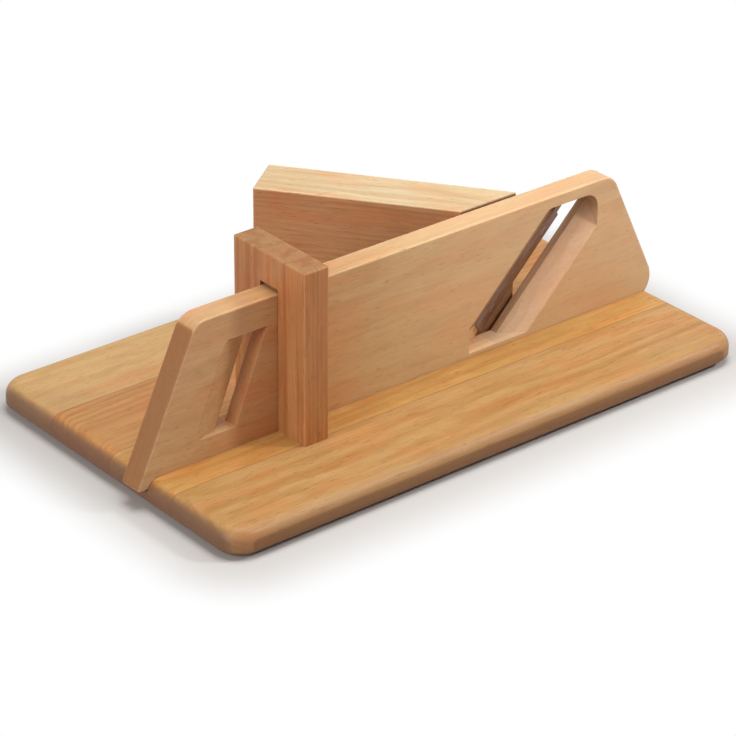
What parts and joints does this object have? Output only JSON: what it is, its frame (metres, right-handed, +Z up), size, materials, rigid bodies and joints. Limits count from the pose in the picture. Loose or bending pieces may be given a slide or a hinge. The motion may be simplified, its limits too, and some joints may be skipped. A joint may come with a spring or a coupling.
{
  "type": "manual salami slicer",
  "caption": "Wooden salami plane: a trapezoid plank with a slanted blade mouth slides in a grooved board, under a guide bridge and past an angled fence.",
  "frame": {"origin": "on the surface the slicer stands on, under the middle of the whole slicer with its plank pushed to the right; the plank's heel passes the board's left end, so the board's middle is at X = 2.7 mm", "axes": "+X along the board and the plank, towards the fence's end; +Y across the board, to the fence's side; +Z up"},
  "size_m": [0.3654, 0.218, 0.119],
  "materials": {
    "board_wood": "oiled",
    "pale_wood": "oiled",
    "blade_steel": "ground",
    "screws": "zinc plated",
    "feet": "matt"
  },
  "bodies": {
    "base": {"board_stave_1": "board_wood", "board_stave_2": "board_wood", "board_stave_3": "board_wood", "board_stave_4": "board_wood", "rubber_feet": "feet", "wood_screws": "screws", "guide_post": "pale_wood", "fence_block": "pale_wood"},
    "plank": {"slide_plank": "pale_wood", "blade": "blade_steel", "blade_screws": "screws"}
  },
  "joints": [
    {"name": "plank_slide", "type": "slide", "parent": "base", "child": "plank", "axis": [1, 0, 0], "range_m": [-0.115, 0]}
  ]
}
